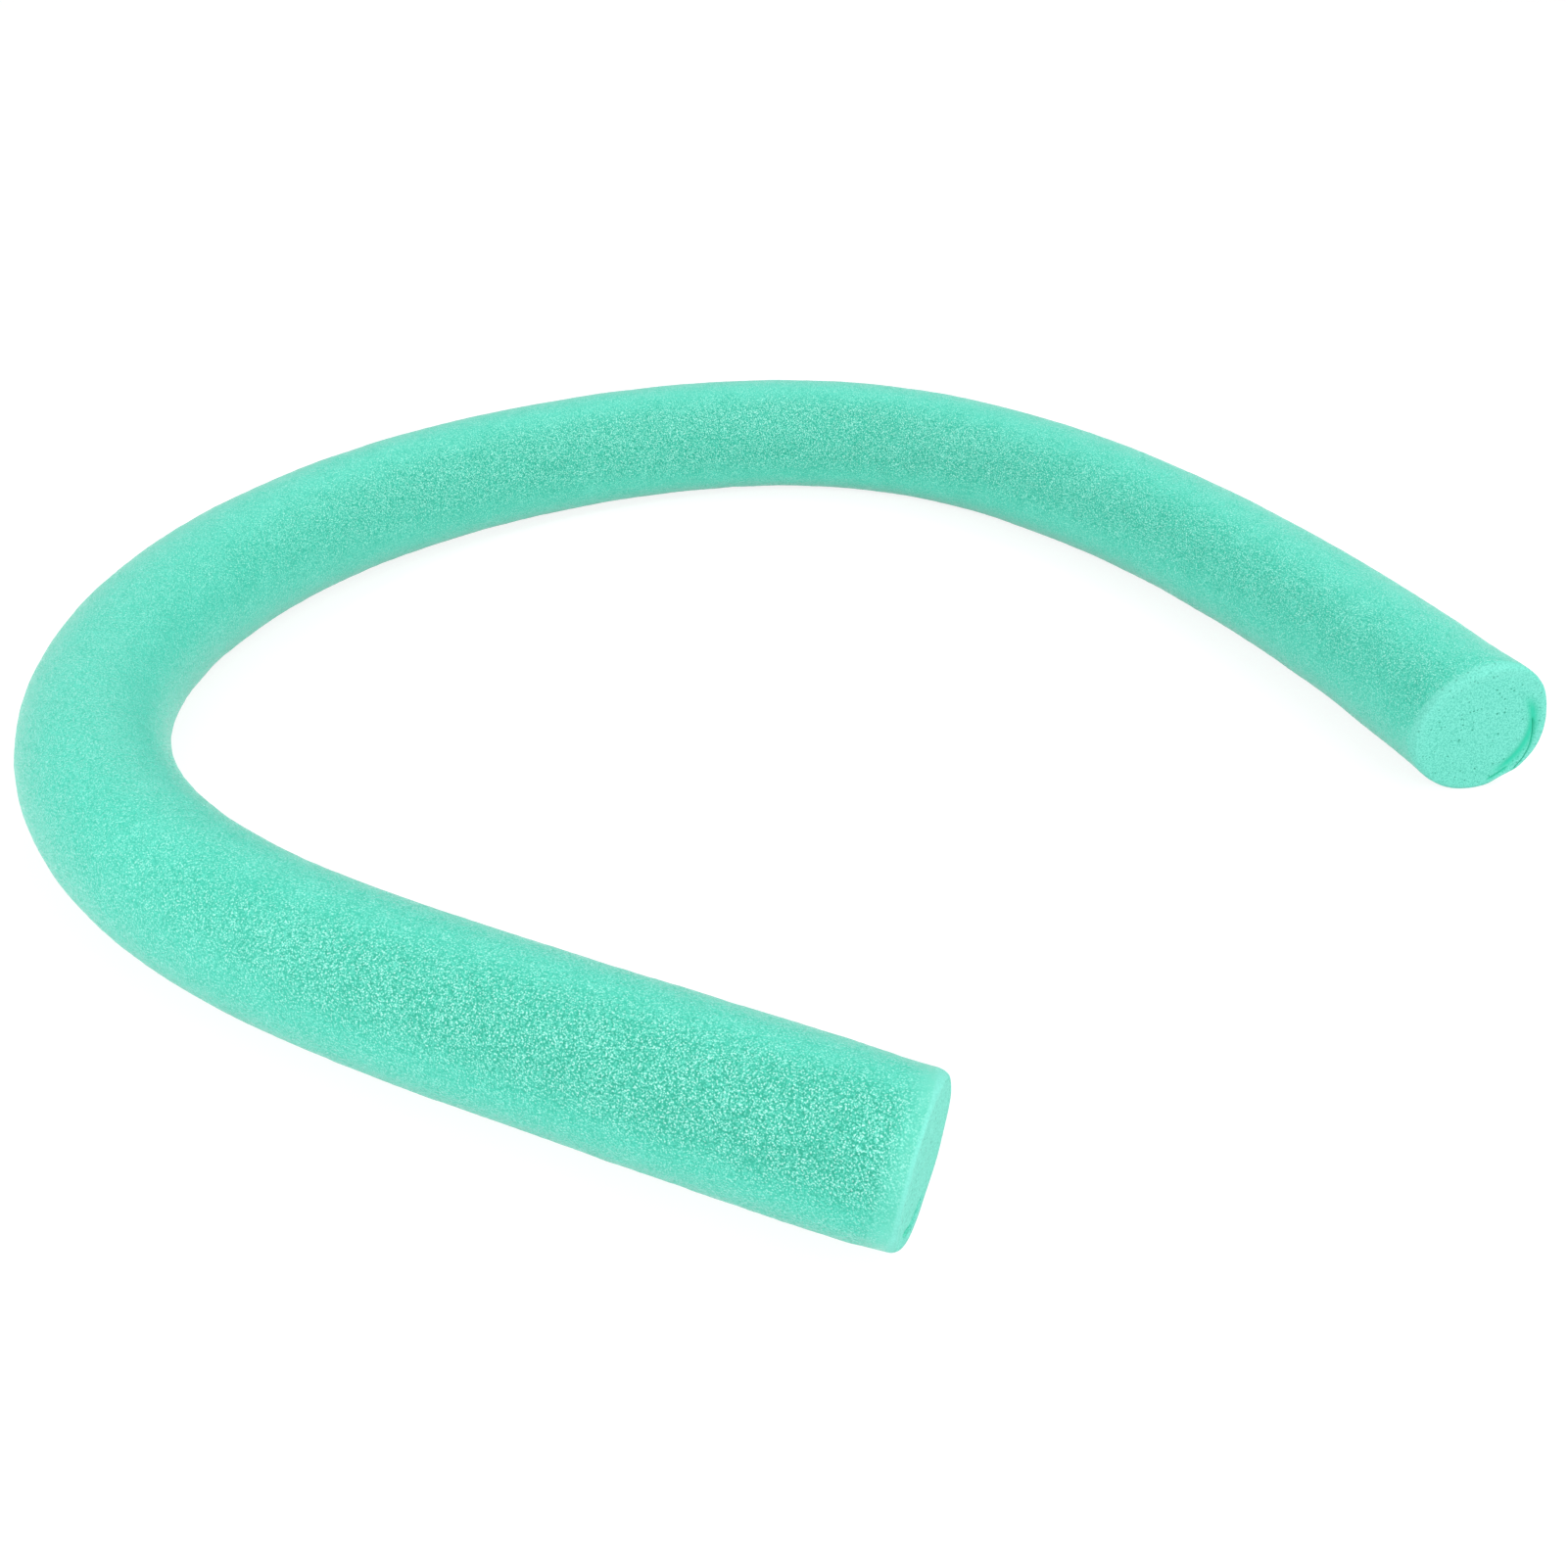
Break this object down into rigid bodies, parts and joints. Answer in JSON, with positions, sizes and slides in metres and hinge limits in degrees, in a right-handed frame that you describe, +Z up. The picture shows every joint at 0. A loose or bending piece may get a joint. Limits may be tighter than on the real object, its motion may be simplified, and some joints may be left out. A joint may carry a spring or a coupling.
{
  "type": "pool noodle",
  "caption": "Solid foam pool noodle with a round section and two cut ends, lying on its side in an open C and free to bend along its length.",
  "frame": {"origin": "middle of the bounding box in plan, on the surface that the noodle lies on", "axes": "+Z up, +X to the right and +Y away from the viewer in the picture, who looks into the open side of the C"},
  "size_m": [0.706, 0.6798, 0.065],
  "materials": {
    "foam": "mint-green closed-cell polyethylene foam with a fine pebbled extruded skin, paler and smoother on the two cut faces"
  },
  "bodies": {
    "foam_length_01": {"foam_length_01": "foam"},
    "foam_length_02": {"foam_length_02": "foam"},
    "foam_length_03": {"foam_length_03": "foam"},
    "foam_length_04": {"foam_length_04": "foam"},
    "foam_length_05": {"foam_length_05": "foam"},
    "foam_length_06": {"foam_length_06": "foam"},
    "foam_length_07": {"foam_length_07": "foam"},
    "foam_length_08": {"foam_length_08": "foam"},
    "foam_length_09": {"foam_length_09": "foam"},
    "foam_length_10": {"foam_length_10": "foam"},
    "foam_length_11": {"foam_length_11": "foam"},
    "foam_length_12": {"foam_length_12": "foam"},
    "foam_length_13": {"foam_length_13": "foam"},
    "foam_length_14": {"foam_length_14": "foam"},
    "foam_length_15": {"foam_length_15": "foam"},
    "foam_length_16": {"foam_length_16": "foam"},
    "foam_length_17": {"foam_length_17": "foam"},
    "foam_length_18": {"foam_length_18": "foam"},
    "foam_length_19": {"foam_length_19": "foam"},
    "foam_length_20": {"foam_length_20": "foam"},
    "foam_length_21": {"foam_length_21": "foam"},
    "foam_length_22": {"foam_length_22": "foam"},
    "foam_length_23": {"foam_length_23": "foam"},
    "foam_length_24": {"foam_length_24": "foam"}
  },
  "joints": [
    {"name": "bend_01", "type": "hinge", "parent": "foam_length_02", "child": "foam_length_01", "pos_m": [-0.01015, -0.28817, 0.0325], "axis": [0, 0, 1], "range_deg": [-5.5, 9.5], "stiffness_Nm_per_rad": 16.5},
    {"name": "bend_02", "type": "hinge", "parent": "foam_length_03", "child": "foam_length_02", "pos_m": [-0.06777, -0.26396, 0.0325], "axis": [0, 0, 1], "range_deg": [-5.5, 8], "stiffness_Nm_per_rad": 16.5},
    {"name": "bend_03", "type": "hinge", "parent": "foam_length_04", "child": "foam_length_03", "pos_m": [-0.12514, -0.23917, 0.0325], "axis": [0, 0, 1], "range_deg": [-5.5, 6], "stiffness_Nm_per_rad": 16.5},
    {"name": "bend_04", "type": "hinge", "parent": "foam_length_05", "child": "foam_length_04", "pos_m": [-0.1812, -0.21158, 0.0325], "axis": [0, 0, 1], "range_deg": [-7, 4], "stiffness_Nm_per_rad": 16.5},
    {"name": "bend_05", "type": "hinge", "parent": "foam_length_06", "child": "foam_length_05", "pos_m": [-0.2335, -0.1775, 0.0325], "axis": [0, 0, 1], "range_deg": [-12.25, 2.5], "stiffness_Nm_per_rad": 16.5},
    {"name": "bend_06", "type": "hinge", "parent": "foam_length_07", "child": "foam_length_06", "pos_m": [-0.27745, -0.13328, 0.0325], "axis": [0, 0, 1], "range_deg": [-16, 2], "stiffness_Nm_per_rad": 16.5},
    {"name": "bend_07", "type": "hinge", "parent": "foam_length_08", "child": "foam_length_07", "pos_m": [-0.30764, -0.07883, 0.0325], "axis": [0, 0, 1], "range_deg": [-17.5, 2], "stiffness_Nm_per_rad": 16.5},
    {"name": "bend_08", "type": "hinge", "parent": "foam_length_09", "child": "foam_length_08", "pos_m": [-0.32028, -0.01785, 0.0325], "axis": [0, 0, 1], "range_deg": [-16.25, 2], "stiffness_Nm_per_rad": 16.5},
    {"name": "bend_09", "type": "hinge", "parent": "foam_length_10", "child": "foam_length_09", "pos_m": [-0.3156, 0.0443, 0.0325], "axis": [0, 0, 1], "range_deg": [-14, 2], "stiffness_Nm_per_rad": 16.5},
    {"name": "bend_10", "type": "hinge", "parent": "foam_length_11", "child": "foam_length_10", "pos_m": [-0.29602, 0.10351, 0.0325], "axis": [0, 0, 1], "range_deg": [-12.25, 2], "stiffness_Nm_per_rad": 16.5},
    {"name": "bend_11", "type": "hinge", "parent": "foam_length_12", "child": "foam_length_11", "pos_m": [-0.26448, 0.15735, 0.0325], "axis": [0, 0, 1], "range_deg": [-10.75, 2], "stiffness_Nm_per_rad": 16.5},
    {"name": "bend_12", "type": "hinge", "parent": "foam_length_13", "child": "foam_length_12", "pos_m": [-0.22346, 0.2044, 0.0325], "axis": [0, 0, 1], "range_deg": [-10, 2.5], "stiffness_Nm_per_rad": 16.5},
    {"name": "bend_13", "type": "hinge", "parent": "foam_length_13", "child": "foam_length_14", "pos_m": [-0.17501, 0.24376, 0.0325], "axis": [0, 0, -1], "range_deg": [-9.25, 3], "stiffness_Nm_per_rad": 16.5},
    {"name": "bend_14", "type": "hinge", "parent": "foam_length_14", "child": "foam_length_15", "pos_m": [-0.12089, 0.27491, 0.0325], "axis": [0, 0, -1], "range_deg": [-8.75, 3], "stiffness_Nm_per_rad": 16.5},
    {"name": "bend_15", "type": "hinge", "parent": "foam_length_15", "child": "foam_length_16", "pos_m": [-0.06263, 0.29733, 0.0325], "axis": [0, 0, -1], "range_deg": [-12, 2], "stiffness_Nm_per_rad": 16.5},
    {"name": "bend_16", "type": "hinge", "parent": "foam_length_16", "child": "foam_length_17", "pos_m": [-0.00109, 0.3073, 0.0325], "axis": [0, 0, -1], "range_deg": [-16, 2], "stiffness_Nm_per_rad": 16.5},
    {"name": "bend_17", "type": "hinge", "parent": "foam_length_17", "child": "foam_length_18", "pos_m": [0.06076, 0.30016, 0.0325], "axis": [0, 0, -1], "range_deg": [-18.25, 2], "stiffness_Nm_per_rad": 16.5},
    {"name": "bend_18", "type": "hinge", "parent": "foam_length_18", "child": "foam_length_19", "pos_m": [0.11749, 0.27449, 0.0325], "axis": [0, 0, -1], "range_deg": [-14.25, 2], "stiffness_Nm_per_rad": 16.5},
    {"name": "bend_19", "type": "hinge", "parent": "foam_length_19", "child": "foam_length_20", "pos_m": [0.16632, 0.23564, 0.0325], "axis": [0, 0, -1], "range_deg": [-9, 3], "stiffness_Nm_per_rad": 16.5},
    {"name": "bend_20", "type": "hinge", "parent": "foam_length_20", "child": "foam_length_21", "pos_m": [0.2084, 0.18949, 0.0325], "axis": [0, 0, -1], "range_deg": [-7, 4], "stiffness_Nm_per_rad": 16.5},
    {"name": "bend_21", "type": "hinge", "parent": "foam_length_21", "child": "foam_length_22", "pos_m": [0.24463, 0.1386, 0.0325], "axis": [0, 0, -1], "range_deg": [-5.5, 5.5], "stiffness_Nm_per_rad": 16.5},
    {"name": "bend_22", "type": "hinge", "parent": "foam_length_22", "child": "foam_length_23", "pos_m": [0.27583, 0.08446, 0.0325], "axis": [0, 0, -1], "range_deg": [-5.5, 6], "stiffness_Nm_per_rad": 16.5},
    {"name": "bend_23", "type": "hinge", "parent": "foam_length_23", "child": "foam_length_24", "pos_m": [0.30215, 0.0278, 0.0325], "axis": [0, 0, -1], "range_deg": [-5.75, 6.5], "stiffness_Nm_per_rad": 16.5}
  ]
}
